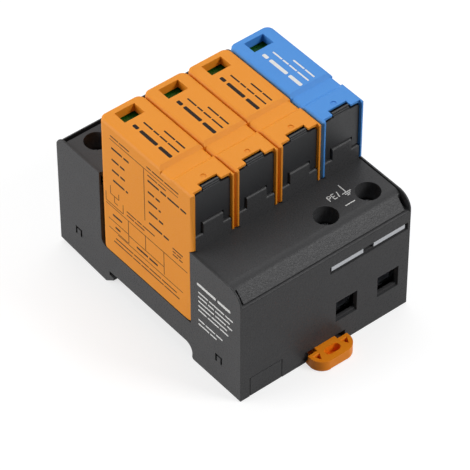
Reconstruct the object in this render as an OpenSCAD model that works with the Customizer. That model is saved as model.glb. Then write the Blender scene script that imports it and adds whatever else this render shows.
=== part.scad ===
// Four-pole plug-in surge arrester for a top-hat mounting rail.
// X runs along the rail, the earth terminals face -Y and the plugs pull out along +Z.
// The part lies on its rail side: the origin is under the middle of its outline.

/* [Base] */
// Width of one pole along the rail
pitch = 18; // [17.8:0.1:20]
// Length of the base from its front face to its rear face
body_len = 97; // [95:0.5:104]
// Length of the terminal block in front of the plugs
front_block = 25.8; // [23.4:0.1:26]
// Length of the terminal block behind the plugs
rear_block = 23.5; // [23.2:0.1:26]
// Height of the side walls
wall_top = 49; // [48:0.5:54]
// Thickness of the side walls
side_wall = 2; // [1.6:0.1:2.1]
// Thickness of the side walls' rim beside the deck
rim_t = 0.7; // [0.6:0.1:1]
// Thickness of the front and rear walls
end_wall = 2; // [1.6:0.1:2.4]
// Thickness of the floor and of the deck
floor_t = 1.8; // [1.5:0.1:2]
// Radius of the upper front edge of the side walls
front_round = 5.8; // [5:0.1:6.5]
// Radius of the upper rear edge of the side walls
rear_round = 4.5; // [2:0.1:5.5]
// Width of the gutter between the rear deck and the rear wall
rear_gutter = 2.6; // [2:0.1:3]
// Depth of the deck below the side walls
deck_drop = 0.4; // [0.2:0.1:0.8]
// Radius of the bend between the deck and its sloping edges
deck_bend = 5; // [4:0.5:6]
// Width of the open gap at each end of the front slope
slope_gap = 1.2; // [0.8:0.1:1.6]
// Thickness of the partitions between terminals
rib_t = 1.6; // [1.2:0.1:1.8]

/* [Rail] */
// Width of the mounting rail
rail_w = 35; // [34.8:0.1:35.4]
// Height of the rail seat
rail_seat = 6; // [5.8:0.1:6.6]
// Length of the recess over the rail
recess_len = 44.4; // [44:0.1:47]
// Distance of the fixed hook's groove from the rear face
hook_back = 27.4; // [26.8:0.1:28]
// Height of the groove that takes the rail's edge
groove_h = 1.6; // [1.4:0.1:2]
// Depth of the groove behind the hook's nose
groove_d = 2.1; // [1.6:0.1:2.6]
// Rise of the underside between the hook and the rear face
rear_rise = 1.6; // [1.2:0.1:2]

/* [Foot] */
// Width of the sliding foot
foot_w = 17; // [14:0.5:17]
// Height of the sliding foot
foot_h = 4.4; // [4:0.1:4.6]
// Reach of the foot in front of the base
foot_out = 7.5; // [7:0.1:9]
// Radius of the foot's outer corners
foot_round = 5; // [4:0.1:6]
// Travel of the foot when it frees the rail
foot_travel = 4.5; // [4:0.1:5]
// Width of the foot's lower web between its guides
foot_web = 11; // [10:0.5:12]

/* [Terminals] */
// Diameter of the screwdriver holes in the deck
hole_d = 8.7; // [8:0.1:9]
// Distance of the earth screws from the front face
front_screw = 11.5; // [11.2:0.1:12]
// Distance of the line screws from the rear face
rear_screw = 10.5; // [10:0.1:10.8]
// Width and height of the wire entries
entry = 9; // [8:0.1:9.4]
// Height of the wire entries above the underside
entry_z = 11; // [10.6:0.1:12]
// Depth of the step under each entry and slot
step_d = 0.8; // [0.5:0.1:1]
// Height of the comb busbar slot above the underside
slot_z = 35; // [34:0.1:36]
// Height of the comb busbar slot
slot_h = 3; // [2.6:0.1:3.4]
// Width of the clamp cages
cage_w = 13.5; // [13:0.1:13.6]
// Depth of the clamp cages
cage_d = 13; // [11:0.1:13.2]
// Height of the clamp cages
cage_h = 21.5; // [21:0.1:24.5]
// Wall thickness of the clamp cages
cage_t = 1.6; // [1.4:0.1:1.8]
// Height of the threaded block at the top of each cage
nut_h = 6; // [5:0.1:7]
// Lift of the cages from open to closed
cage_lift = 7; // [5:0.1:7.2]
// Radius of the clamp screws
screw_r = 3; // [2.5:0.1:3.2]
// Radius of the screw heads
head_r = 3.8; // [3.5:0.05:3.85]
// Height of the screw heads
head_h = 3; // [2.4:0.1:3.4]

/* [Contacts] */
// Thickness of the plug blades
blade_t = 1; // [0.8:0.1:1.2]
// Width of the plug blades and of the contact strips
blade_w = 9; // [8:0.1:9.4]
// Distance of each blade from the end of the bay
blade_in = 7.2; // [6.8:0.1:8]
// Thickness of the contact strips
strip_t = 1.5; // [1.2:0.1:1.6]
// Thickness of the spring leaves that grip the blades
leaf_t = 0.8; // [0.6:0.1:1]
// Height of the contact forks
fork_h = 6; // [5.4:0.1:6.2]

/* [Plugs] */
// Height of the bay's sill on the side walls
sill = 16.5; // [16.2:0.1:17.5]
// Height of the plugs
plug_h = 57.9; // [57.5:0.1:62]
// Thickness of the plug cover's walls
cover_wall = 1.2; // [1:0.1:1.4]
// Thickness of the plug cover's top
cover_top = 2.2; // [2:0.1:2.6]
// Reach of the cover's flanges over the front deck
flange_out = 1.4; // [1:0.1:1.8]
// Distance of the flange's inner face from the cover's side
flange_in = 1.3; // [1.1:0.1:2.2]
// Width of the bevel on the flange
bevel_w = 0.6; // [0.3:0.1:1.3]
// Length of the bevel on the flange
bevel_len = 1; // [1:0.1:3]
// Radius of the cover's upper edges
edge_round = 1.5; // [1:0.1:1.8]
// Radius of the cover's rear corners
corner_round = 1.7; // [1.4:0.1:2.4]
// Depth of the finger dish in the cover's top
dish_d = 1; // [0.6:0.1:1.1]
// Height of the bay's front panels above the deck
panel_rise = 6.7; // [6:0.1:8]
// Height of the tab on each panel
tab_h = 4.5; // [4:0.1:5]
// Width of the tab on each panel
tab_w = 8.2; // [7:0.1:9]
// Thickness of the panels
panel_t = 1.6; // [1.4:0.1:1.7]
// Height of the arrester block inside each plug
block_h = 34; // [32:0.5:35]
// Thickness of the arrester block
block_t = 11; // [9:0.5:12.5]

/* [Status window] */
// Width of the status window
window_w = 8; // [7:0.1:9]
// Length of the status window
window_len = 5.4; // [5:0.1:6]
// Distance of the window from the cover's rear face
window_back = 2.9; // [2.6:0.1:4]
// Depth of the window's well
well_d = 3.4; // [3.4:0.1:4.6]
// Thickness of the status flag
flag_t = 1.2; // [0.8:0.1:1.4]

/* [Clearances] */
// Gap between a plug and the edge of its pole
plug_gap = 0.12; // [0.1:0.01:0.15]
// Clearance of seated pieces
fit = 0.15; // [0.1:0.01:0.2]
// Clearance of the foot in its guide
foot_fit = 0.2; // [0.15:0.01:0.25]
// Clearance of blades in their forks and of screws in their cages
contact_fit = 0.08; // [0.05:0.01:0.09]

/* [Hidden] */

$fn = 48;
over = 1;
poles = 4;
body_w = poles * pitch;

base_black = "#3a3a3b";
steel = "#b9bcc0";
copper = "#c9a27c";
tin = "#c4c6c8";
orange = "#ee9a3a";
foot_orange = "#d77a1f";
blue = "#5596e1";
carrier_black = "#2e2e30";
block_blue = "#35527a";
fault_red = "#c8281e";
ready_green = "#1f7a2c";

// Base heights and lengths, measured from the front face and the underside
deck_top = wall_top - deck_drop;
bay_front = front_block;
bay_rear = body_len - rear_block;
bay_floor = sill - 0.5;
bay_round = 3;
groove_y = body_len - hook_back;
recess_front = groove_y - recess_len;
recess_round = 3.5;
hook_foot = groove_y + groove_d;
hook_nose = groove_y - groove_d;
nose_t = 1.2;
ceiling = rail_seat + floor_t;
lip_back = 0.9;
lip_gap = 0.35;
lip_round = 0.6;
skirt_t = 1.5;
skirt_h = 3;
rear_drop = 3.2;
rear_seat = 6;
gutter_d = 4;
gutter_edge = body_len - end_wall - rear_gutter;
gutter_low = deck_top - gutter_d - floor_t;
rib_top = wall_top - front_round - skirt_h - floor_t;

// Signal port on the front face
port_x = 4;
port_w = 13.6;
port_h = 8.7;
port_flange = 1;

// Latch pockets on the side walls: distance from the front face and height, with a tongue in each
pocket = [3.4, 3.4];
pocket_d = 1.2;
pocket_slit = 0.7;
pocket_front = [9.6, 9.3];
pocket_rear = [body_len - 12.4, 10.4];

// Foot
foot_x = body_w / 2;
foot_low = 0.15;
foot_ledge = 1.3;
foot_gap = 0.25;
rail_play = 0.3;
rail_edge = groove_y - rail_w - rail_play;
catch_z = rail_seat - groove_h - 0.1;
catch_top = rail_seat - rail_play;
catch_len = 2.2;
catch_slope = 1.8;
catch_flat = 0.8;
catch_back = recess_front + foot_travel + foot_gap;
eye_w = 6.2;
eye_d = 3.2;
eye_floor = 0.8;
eye_rim = 0.3;
side_eye_x = 5.9;
side_eye = 1.1;
neck_w = 9;
neck_front = -1.1;
neck_rear = 3;

// Terminals
play = 0.2;
cage_floor = entry_z - play;
cage_low = cage_floor - cage_t;
cage_top = cage_low + cage_h;
bar_low = entry_z + entry + play;
bar_top = bar_low + strip_t;
screw_low = bar_top + 0.05;
head_low = cage_top + cage_lift + 2 * play;
drive_w = 0.9;
drive_d = 1.4;
collar_t = 1.2;
collar_low = head_low + play;
rear_screw_y = body_len - rear_screw;

// Contacts
front_blade = bay_front + blade_in;
rear_blade = bay_rear - blade_in;
fork_half = blade_t / 2 + contact_fit + leaf_t;
riser_gap = 0.3;
front_riser = bay_front - floor_t - riser_gap;
rear_riser = bay_rear + floor_t + riser_gap;
blade_tip = ceiling + strip_t + 0.4;
link_w = 4.4;
comb_back = end_wall + 3 * play;
comb_front = 1.5 * play;
comb_low = slot_z + step_d + play;
comb_top = slot_z + slot_h - play;

// Plugs
plug_low = sill + play;
plug_top = plug_low + plug_h;
plug_w = pitch - 2 * plug_gap;
plug_front = bay_front + fit;
plug_rear = bay_rear - play;
plug_round = 3;
flange_tip = bay_front - flange_out;
flange_low = deck_top + 1.4;
flange_slope = 1;
foot_corner = 1.2;
lead_low = [bay_front + 3.4, sill + 5.6];
lead_tilt = 10.2;
lead_angle = 4;
front_zone = bay_front + panel_t + play + floor_t;
lip_t = 0.9;
lip_setback = 1.2;
lip_notch_w = 7.7;
lip_notch_d = 2.4;
lip_corner = 1.4;
dish_rear = bay_front + 16.3;
dish_front = bay_front + 8.3;
dish_slope = 1.5;
dot_y = bay_front + 3.9;
dot_r = 1;
dot_d = 0.3;
panel_top = deck_top + panel_rise;
panel_face = bay_front - 1.1;
insert_face = bay_front - 0.4;
tab_top = panel_top + tab_h;
tab_gap = 0.5;
panel_bevel = 0.5;
carrier_in = flange_in + fit;
carrier_floor_t = 1.8;
block_low = plug_low + carrier_floor_t;
block_top = block_low + block_h;
block_gap = 0.1;
block_round = 3;
common_tab = 12;
line_tab = 16;
panel_gap = 0.7;
grip_d = 1.1;
grip_steps = 3;
grip_drop = 0.3;
grip_root = 2;
grip_gap = 1.4;
grip_side = 0.4;

// Status window, well and flag
window_rear = plug_rear - window_back;
window_front = window_rear - window_len;
well_t = 1;
flag_drop = 0.8;
flag_top = plug_top - well_d - flag_drop;
flag_low = flag_top - flag_t;
flag_rear = window_rear + 0.8;
flag_front = window_front - 1.2;
flag_travel = flag_rear - window_front;
flag_w = window_w + 1.6;
frame_top = flag_low - 0.1;
frame_t = 1.6;
frame_w = flag_w + 1.4;
frame_front = flag_front - flag_travel - 0.6;
frame_leg = rear_blade - blade_t - block_round - 2 * frame_t;

function pole_x(k) = (k + 0.5) * pitch;

// Moves the base's front left lower corner to its place around the origin
module placed() {
    translate([-body_w / 2, (foot_out - body_len) / 2, 0]) children();
}

// Box between two opposite corners
module block(low, high) {
    translate(low) cube(high - low);
}

// Prism along X of an outline drawn in Y and Z
module along_x(from, to) {
    translate([from, 0, 0]) rotate([90, 0, 90]) linear_extrude(to - from) children();
}

// Prism along Y of an outline drawn in X and Z
module along_y(from, to) {
    translate([0, to, 0]) rotate([90, 0, 0]) linear_extrude(to - from) children();
}

// What a rounded corner leaves outside it: the solid lies towards +X and +Y
module corner_waste(r) {
    difference() {
        translate([-over, -over]) square(r + over);
        translate([r, r]) circle(r);
    }
}

// Side outline of the space over the rail, with the fixed hook at its rear
module recess_outline() {
    hook_top = rail_seat - groove_h;
    difference() {
        polygon([
            [recess_front, -over], [recess_front, rail_seat], [groove_y, rail_seat],
            [groove_y, hook_top], [hook_nose, hook_top], [hook_nose, hook_top - nose_t],
            [hook_foot, 0], [hook_foot, -over]
        ]);
        translate([recess_front, rail_seat]) mirror([0, 1]) corner_waste(recess_round);
    }
}

// Side outline of the plug bay
module bay_outline() {
    difference() {
        translate([bay_front, sill]) square([bay_rear - bay_front, wall_top]);
        translate([bay_rear, sill]) mirror([1, 0]) corner_waste(bay_round);
    }
}

// Side outline of the base
module tub_outline() {
    difference() {
        square([body_len, wall_top]);
        translate([0, wall_top]) mirror([0, 1]) corner_waste(front_round);
        translate([body_len, wall_top]) rotate(180) corner_waste(rear_round);
        translate([recess_front, 0]) mirror([1, 0]) corner_waste(1);
        polygon([
            [hook_foot - over, -over], [hook_foot, 0],
            [body_len + over, rear_rise], [body_len + over, -over]
        ]);
        recess_outline();
        bay_outline();
    }
}

// Inner spaces of the base: front, middle and rear chamber and the deck's seats
module tub_chambers() {
    left = side_wall;
    right = body_w - side_wall;
    high = wall_top + over;
    block([left, end_wall, floor_t], [right, recess_front - floor_t, high]);
    block([left, end_wall, ceiling], [right, body_len - end_wall, high]);
    block([left, hook_foot + floor_t, rear_rise + floor_t], [right, body_len - end_wall, high]);
    block([rim_t, -over, wall_top - front_round], [body_w - rim_t, bay_front, high]);
    block([rim_t, bay_rear, wall_top - rear_seat], [body_w - rim_t, body_len - rim_t, high]);
    block([rim_t, bay_rear, wall_top - rear_drop], [body_w - rim_t, body_len + over, high]);
    along_x(rim_t, body_w - rim_t)
        translate([0, wall_top - front_round]) mirror([0, 1]) corner_waste(lip_round);
}

// Partitions between the terminals and the ribs that carry the bay's floor
module tub_ribs() {
    rib_in = 0.5;
    for (k = [2 : poles - 1]) {
        block([k * pitch - rib_t / 2, end_wall - rib_in, floor_t - rib_in],
            [k * pitch + rib_t / 2, front_riser - strip_t - play, rib_top]);
    }
    for (k = [1 : poles - 1]) {
        block([k * pitch - rib_t / 2, rear_riser + strip_t + play, rear_rise + floor_t - rib_in],
            [k * pitch + rib_t / 2, body_len - end_wall + rib_in, rib_top]);
    }
    for (k = [1 : poles - 2]) {
        block([k * pitch - rib_t / 2, front_blade + 2 * fork_half, ceiling - rib_in],
            [k * pitch + rib_t / 2, rear_blade - 2 * fork_half, bay_floor - floor_t]);
    }
}

// Cross-section of the foot's guide, widened by a clearance
module foot_section(gap) {
    translate([foot_x - foot_w / 2 - gap, foot_ledge - gap + foot_low])
        square([foot_w + 2 * gap, foot_h + 2 * gap - foot_ledge - foot_low]);
    translate([foot_x - foot_web / 2 - gap, foot_low - gap - over * sign(gap)])
        square([foot_web + 2 * gap, foot_h - foot_low]);
}

// Wire entry with the step under it, through a wall from one face inwards
module wire_entry(x, face, inwards) {
    inner = face + inwards * (end_wall + over);
    outer = face - inwards * over;
    step = face + inwards * step_d;
    block([x - entry / 2, min(inner, outer), entry_z + step_d],
        [x + entry / 2, max(inner, outer), entry_z + entry]);
    block([x - entry / 2, min(step, outer), entry_z],
        [x + entry / 2, max(step, outer), entry_z + 2 * step_d]);
}

// Slot for a comb busbar over the earth terminals, with the step under it
module comb_slot() {
    left = (poles - 2) * pitch + 1.5;
    right = body_w - 1.2;
    block([left, -over, slot_z + step_d], [right, end_wall + over, slot_z + slot_h]);
    block([left, -over, slot_z], [right, step_d, slot_z + 2 * step_d]);
}

// Slit of a latch pocket around the front, top and rear of its tongue
module latch_slit(x, corner) {
    along_x(x, x + over + pocket_d) translate(corner) difference() {
        square(pocket);
        translate([pocket_slit, -over]) square([pocket.x - 2 * pocket_slit, pocket.y - pocket_slit + over]);
    }
}

module base_tub() {
    color(base_black) placed() difference() {
        union() {
            difference() {
                along_x(0, body_w) tub_outline();
                tub_chambers();
            }
            tub_ribs();
            block([foot_x - foot_w / 2 - floor_t, end_wall / 2, floor_t / 2],
                [foot_x + foot_w / 2 + floor_t, recess_front - floor_t / 2, foot_h + foot_fit + floor_t]);
        }
        along_y(-over, recess_front + over) foot_section(foot_fit);
        for (k = [2 : poles - 1]) {
            wire_entry(pole_x(k), 0, 1);
        }
        for (k = [0 : poles - 1]) {
            wire_entry(pole_x(k), body_len, -1);
        }
        comb_slot();
        block([port_x, -over, -over], [port_x + port_w, end_wall + over / 2, port_h]);
        for (x = [-over, body_w - pocket_d]) {
            for (corner = [pocket_front, pocket_rear]) {
                latch_slit(x, corner);
            }
        }
    }
}

// Side outline of the deck's plates: slope, bend and flat over the front terminals, flat over the rear ones
module plate_outline() {
    lip_z = wall_top - front_round + lip_gap;
    bend = [lip_back + deck_top - lip_z, deck_top];
    reach = deck_bend * tan(22.5);
    bend_start = bend - reach * [cos(45), sin(45)];
    bend_end = bend + [reach, 0];
    polygon([
        [lip_back, lip_z], bend_start, bend_end, [bay_front, deck_top], [bay_front, deck_top - floor_t],
        [bend.x + floor_t * tan(22.5), deck_top - floor_t], [lip_back + floor_t / cos(45), lip_z]
    ]);
    intersection() {
        polygon([bend_start, bend + [-over, over], bend_end, bend - [0, floor_t]]);
        translate(bend_end - [0, deck_bend]) circle(deck_bend);
    }
    translate([bay_rear, deck_top - floor_t]) square([gutter_edge - bay_rear, floor_t]);
}

// Side outline of the plug bay's walls and floor, with the front skirt and the rear gutter
module bay_shell_outline() {
    wall_h = deck_top - bay_floor + floor_t / 2;
    translate([end_wall + fit, wall_top - front_round + lip_gap - skirt_h]) square([skirt_t, skirt_h + 0.5]);
    translate([gutter_edge - skirt_t, gutter_low]) square([skirt_t, gutter_d + floor_t / 2]);
    translate([gutter_edge - skirt_t, gutter_low]) square([skirt_t + rear_gutter - fit, floor_t]);
    translate([bay_front - floor_t, bay_floor - floor_t]) square([floor_t, wall_h]);
    translate([bay_rear, bay_floor - floor_t]) square([floor_t, wall_h]);
    translate([bay_front - floor_t, bay_floor - floor_t])
        square([bay_rear - bay_front + 2 * floor_t, floor_t]);
}

// Collar of a screwdriver hole
module collar(x, y) {
    translate([x, y, collar_low])
        cylinder(r = hole_d / 2 + collar_t, h = deck_top - floor_t / 2 - collar_low);
}

// Side outline of a panel with a lead-in bevel at its upper front edge
module panel_outline(low, high) {
    polygon([
        [panel_face, low], [panel_face, high - panel_bevel], [panel_face + panel_bevel, high],
        [bay_front + panel_t, high], [bay_front + panel_t, low]
    ]);
}

// Stepped panel in front of one plug
module bay_panel(k) {
    half_w = pitch / 2 - flange_in - plug_gap - play;
    foot_half = pitch / 2 - side_wall - fit;
    block([pole_x(k) - tab_w / 2, bay_front - floor_t / 2, bay_floor - floor_t / 2],
        [pole_x(k) + tab_w / 2, bay_front + panel_t, deck_top - floor_t / 2]);
    block([pole_x(k) - half_w, bay_front, plug_low], [pole_x(k) + half_w, bay_front + panel_t, panel_top]);
    along_x(pole_x(k) - half_w, pole_x(k) + half_w) panel_outline(wall_top, panel_top);
    block([pole_x(k) - foot_half, panel_face, deck_top - floor_t / 2],
        [pole_x(k) + foot_half, bay_front, wall_top + over]);
    along_x(pole_x(k) - tab_w / 2, pole_x(k) + tab_w / 2) panel_outline(deck_top - floor_t / 2, tab_top);
}

module base_deck() {
    shell_in = side_wall + fit;
    left = rim_t + fit;
    right = body_w - rim_t - fit;
    slope_end = lip_back + front_round - lip_gap - deck_drop - slope_gap;
    slot_half = blade_w / 2 + play;
    color(base_black) placed() difference() {
        union() {
            along_x(left, right) plate_outline();
            along_x(shell_in, body_w - shell_in) bay_shell_outline();
            for (k = [0 : poles - 1]) {
                bay_panel(k);
                collar(pole_x(k), rear_screw_y);
            }
            for (k = [2 : poles - 1]) {
                collar(pole_x(k), front_screw);
            }
        }
        for (x = [left - over, right - slope_gap]) {
            block([x, -over, wall_top - front_round - skirt_h - over],
                [x + slope_gap + over, slope_end, wall_top + over]);
        }
        for (k = [0 : poles - 1]) {
            translate([pole_x(k), rear_screw_y, 0]) cylinder(d = hole_d, h = wall_top + over);
            for (y = [front_blade, rear_blade]) {
                block([pole_x(k) - slot_half, y - blade_t / 2 - 2 * play, bay_floor - floor_t - over],
                    [pole_x(k) + slot_half, y + blade_t / 2 + 2 * play, bay_floor + over]);
            }
        }
        for (k = [2 : poles - 1]) {
            translate([pole_x(k), front_screw, 0]) cylinder(d = hole_d, h = wall_top + over);
        }
    }
}

module signal_port_blank() {
    color(base_black) placed() {
        block([port_x + fit, 0, fit], [port_x + port_w - fit, end_wall, port_h - fit]);
        block([port_x - port_flange, end_wall, floor_t],
            [port_x + port_w + port_flange, end_wall + floor_t, port_h + port_flange]);
    }
}

// Plan of the foot's head, with its eyes
module foot_head() {
    middle = [foot_x, -foot_out / 2];
    difference() {
        translate([foot_x - foot_w / 2, -foot_out]) square([foot_w, foot_out - foot_gap]);
        translate([foot_x - foot_w / 2, -foot_out]) corner_waste(foot_round);
        translate([foot_x + foot_w / 2, -foot_out]) mirror([1, 0]) corner_waste(foot_round);
        translate(middle) square([eye_w - eye_d, eye_d], center = true);
        for (side = [-1, 1]) {
            translate(middle + [side * (eye_w - eye_d) / 2, 0]) circle(d = eye_d);
            translate(middle + [side * side_eye_x, 0])
                polygon([[-side_eye, side_eye], [side_eye, side_eye], [0, -side_eye]]);
        }
    }
}

module rail_foot() {
    half_w = foot_w / 2;
    tip = rail_edge + catch_len;
    eye_half = [eye_w / 2 + eye_rim, eye_d / 2 + eye_rim];
    color(foot_orange) placed() difference() {
        union() {
            translate([0, 0, foot_low]) linear_extrude(foot_h - foot_low) foot_head();
            block([foot_x - eye_half.x, -foot_out / 2 - eye_half.y, foot_low],
                [foot_x + eye_half.x, eye_half.y - foot_out / 2, foot_low + eye_floor]);
            along_y(-over, catch_back + over) intersection() {
                foot_section(0);
                translate([foot_x - half_w, foot_low]) square([foot_w, foot_h - foot_low]);
            }
            along_x(foot_x - half_w, foot_x + half_w) polygon([
                [catch_back, foot_low], [catch_back, catch_top - recess_round],
                [rail_edge - catch_flat, catch_top], [rail_edge, catch_top],
                [rail_edge, catch_z], [tip, catch_z], [tip, catch_z - 1], [rail_edge - catch_slope, foot_low]
            ]);
        }
        for (x = [foot_x - half_w - over, foot_x + neck_w / 2]) {
            block([x, neck_front, foot_ledge], [x + half_w - neck_w / 2 + over, neck_rear, rail_seat]);
        }
    }
}

// Lifting cage of one terminal, open at the bottom of its travel
module cage(x, y) {
    color(steel) placed() difference() {
        along_y(y - cage_d / 2, y + cage_d / 2) difference() {
            translate([x - cage_w / 2, cage_low]) square([cage_w, cage_h]);
            translate([x - cage_w / 2 + cage_t, cage_floor])
                square([cage_w - 2 * cage_t, cage_h - cage_t - nut_h]);
        }
        translate([x, y, cage_floor]) cylinder(r = screw_r + contact_fit, h = cage_h);
    }
}

// Clamp screw with a cross recess, standing on the current bar
module clamp_screw(x, y) {
    color(steel) placed() translate([x, y, 0]) difference() {
        union() {
            translate([0, 0, screw_low]) cylinder(r = screw_r, h = head_low - screw_low + head_h / 2);
            translate([0, 0, head_low]) cylinder(r = head_r, h = head_h);
        }
        for (turn = [0, 90]) {
            rotate(turn) block([-head_r * 0.7, -drive_w / 2, head_low + head_h - drive_d],
                [head_r * 0.7, drive_w / 2, head_low + head_h + over]);
        }
    }
}

// Side outline of a fork that grips a blade
module fork_outline(y) {
    translate([y - fork_half, ceiling]) square([2 * fork_half, strip_t]);
    for (side = [y - fork_half, y + fork_half - leaf_t]) {
        translate([side, ceiling]) square([leaf_t, fork_h]);
    }
}

// Side outline of a strip that leaves a fork, rises and ends as the bar of a clamp
module strip_outline(y, riser, end) {
    toward = sign(riser - y);
    knee = riser + toward * strip_t;
    translate([min(y, knee), ceiling]) square([abs(knee - y), strip_t]);
    translate([min(riser, knee), ceiling]) square([strip_t, bar_top - ceiling]);
    translate([min(riser, end), bar_low]) square([abs(end - riser), strip_t]);
}

// Strip of one pole from its rear fork to its line terminal
module line_contact(k) {
    color(copper) placed() along_x(pole_x(k) - blade_w / 2, pole_x(k) + blade_w / 2) {
        fork_outline(rear_blade);
        strip_outline(rear_blade, rear_riser, rear_screw_y + cage_d / 2 - play);
    }
}

// Neutral bar: the front forks of the line poles, a link and the neutral terminal's strip
module neutral_busbar() {
    last = poles - 1;
    link_x = last * pitch - link_w / 2;
    color(copper) placed() {
        along_x(pole_x(0) - blade_w / 2, pole_x(last - 1) + blade_w / 2) fork_outline(front_blade);
        block([pole_x(last - 1), front_blade - fork_half, ceiling],
            [link_x + link_w, front_blade + fork_half, ceiling + strip_t]);
        block([link_x, front_blade - fork_half, ceiling],
            [link_x + link_w, rear_blade + fork_half, ceiling + strip_t]);
        block([link_x, rear_blade - fork_half, ceiling],
            [pole_x(last), rear_blade + fork_half, ceiling + strip_t]);
        along_x(pole_x(last) - blade_w / 2, pole_x(last) + blade_w / 2) {
            fork_outline(rear_blade);
            strip_outline(rear_blade, rear_riser, rear_screw_y + cage_d / 2 - play);
        }
    }
}

// Earth bar: the front fork of the neutral pole, both earth terminals' strips and their comb landings
module pe_busbar() {
    last = poles - 1;
    color(tin) placed() {
        along_x(pole_x(last) - blade_w / 2, pole_x(last) + blade_w / 2) {
            fork_outline(front_blade);
            strip_outline(front_blade, front_riser, comb_back);
        }
        block([pole_x(last - 1) - blade_w / 2, front_riser - strip_t, bar_low - blade_w / 2],
            [pole_x(last), front_riser, bar_top]);
        block([pole_x(last - 1) - blade_w / 2, comb_back, bar_low],
            [pole_x(last - 1) + blade_w / 2, front_riser, bar_top]);
        for (k = [last - 1, last]) {
            block([pole_x(k) - cage_w / 2, comb_back, bar_low],
                [pole_x(k) + cage_w / 2, comb_back + strip_t, comb_top]);
            block([pole_x(k) - cage_w / 2, comb_front, comb_low],
                [pole_x(k) + cage_w / 2, comb_back + strip_t, comb_top]);
        }
    }
}

// Side outline of a plug cover, with the flange over the deck
module cover_outline() {
    difference() {
        polygon([
            [plug_front, plug_low], [plug_front, flange_low - flange_slope], [flange_tip, flange_low],
            [flange_tip, plug_top], [plug_rear, plug_top], [plug_rear, plug_low]
        ]);
        translate([plug_rear, plug_top]) rotate(180) corner_waste(edge_round);
        translate([plug_rear, plug_low]) mirror([1, 0]) corner_waste(plug_round);
        translate([plug_front, plug_low]) corner_waste(foot_corner);
        translate([flange_tip, plug_top]) mirror([0, 1]) corner_waste(edge_round / 2);
    }
}

// Front outline of a plug cover with rounded upper edges
module cover_section(left, low, high) {
    difference() {
        translate([left, low]) square([plug_w, high - low]);
        translate([left, high]) mirror([0, 1]) corner_waste(edge_round);
        translate([left + plug_w, high]) rotate(180) corner_waste(edge_round);
    }
}

// Plan of a plug cover with rounded rear corners
module cover_plan(left) {
    difference() {
        translate([left, flange_tip]) square([plug_w, plug_rear - flange_tip]);
        translate([left, plug_rear]) mirror([0, 1]) corner_waste(corner_round);
        translate([left + plug_w, plug_rear]) rotate(180) corner_waste(corner_round);
    }
}

// Finger dish across the top: the cut, sloped at both ends
module dish_cut(left) {
    along_x(left - over, left + plug_w + over) polygon([
        [dish_front, plug_top], [dish_front, plug_top + over], [dish_rear, plug_top + over],
            [dish_rear, plug_top],
        [dish_rear - dish_slope, plug_top - dish_d],
            [dish_rear - dish_slope, plug_top - dish_d - edge_round],
        [dish_front + dish_slope, plug_top - dish_d - edge_round],
            [dish_front + dish_slope, plug_top - dish_d]
    ]);
}

// Hollow of a plug cover: the space between the flanges, the inside and the notch in the lip
module cover_hollow(k, left) {
    right = left + plug_w;
    along_y(flange_tip - over, front_zone + over) difference() {
        translate([left + flange_in, plug_low - over])
            square([plug_w - 2 * flange_in, plug_h + over - lip_t]);
        translate([left + flange_in, plug_top - lip_t]) mirror([0, 1]) corner_waste(lip_corner);
        translate([right - flange_in, plug_top - lip_t]) rotate(180) corner_waste(lip_corner);
    }
    block([left + flange_in, flange_tip - over, plug_low - over],
        [right - flange_in, flange_tip + lip_setback, plug_top + over]);
    block([left + cover_wall, front_zone, plug_low - over],
        [right - cover_wall, plug_rear - cover_wall, plug_top - cover_top]);
    block([pole_x(k) - lip_notch_w / 2, flange_tip - over, plug_top - lip_t - over],
        [pole_x(k) + lip_notch_w / 2, flange_tip + lip_setback + lip_notch_d, plug_top + over]);
}

// Flat facet at the lower front of a plug cover's side, which leads the plug into the bay
module lead_facet() {
    length = (deck_top - lead_low.y) / cos(lead_tilt);
    translate([-plug_w / 2, lead_low.x, lead_low.y]) rotate([lead_tilt, 0, 0]) rotate(lead_angle)
        block([-over, -lead_low.x, -2 * bay_round], [0, 0, length]);
}

module cover(k, finish) {
    left = k * pitch + plug_gap;
    well_x = window_w / 2 + well_t;
    color(finish) placed() difference() {
        union() {
            difference() {
                intersection() {
                    along_x(left, left + plug_w) cover_outline();
                    along_y(flange_tip, plug_rear) cover_section(left, plug_low, plug_top);
                    translate([0, 0, plug_low]) linear_extrude(plug_h) cover_plan(left);
                }
                dish_cut(left);
                for (side = [0, 1]) {
                    translate([pole_x(k), 0, 0]) mirror([side, 0, 0]) lead_facet();
                    translate([pole_x(k), flange_tip, flange_low - flange_slope - over]) mirror([side, 0, 0])
                        linear_extrude(plug_h) polygon([
                            [-plug_w / 2 - over, -over], [bevel_w - plug_w / 2, -over],
                            [bevel_w - plug_w / 2, 0], [-plug_w / 2, bevel_len],
                                [-plug_w / 2 - over, bevel_len]
                        ]);
                }
            }
            along_y(dish_front + dish_slope, dish_rear - dish_slope)
                cover_section(left, plug_top - cover_top - over, plug_top - dish_d);
        }
        difference() {
            cover_hollow(k, left);
            block([pole_x(k) - well_x, window_front - well_t, plug_top - well_d],
                [pole_x(k) + well_x, window_rear + well_t, plug_top]);
        }
        block([pole_x(k) - window_w / 2, window_front, plug_top - well_d - over],
            [pole_x(k) + window_w / 2, window_rear, plug_top + over]);
        translate([pole_x(k), dot_y, plug_top - dot_d]) cylinder(r = dot_r, h = over);
    }
}

// Stepped side outline of a finger grip, from an insert's front panel up to the cover's top
module grip_outline(panel_end) {
    low = panel_end - grip_drop;
    rise = (plug_top - fit - low) / grip_steps;
    for (i = [0 : grip_steps - 1]) {
        translate([insert_face + i * grip_d / grip_steps, low - grip_root])
            square([grip_gap - i * grip_d / grip_steps, grip_root + (i + 1) * rise]);
    }
}

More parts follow.
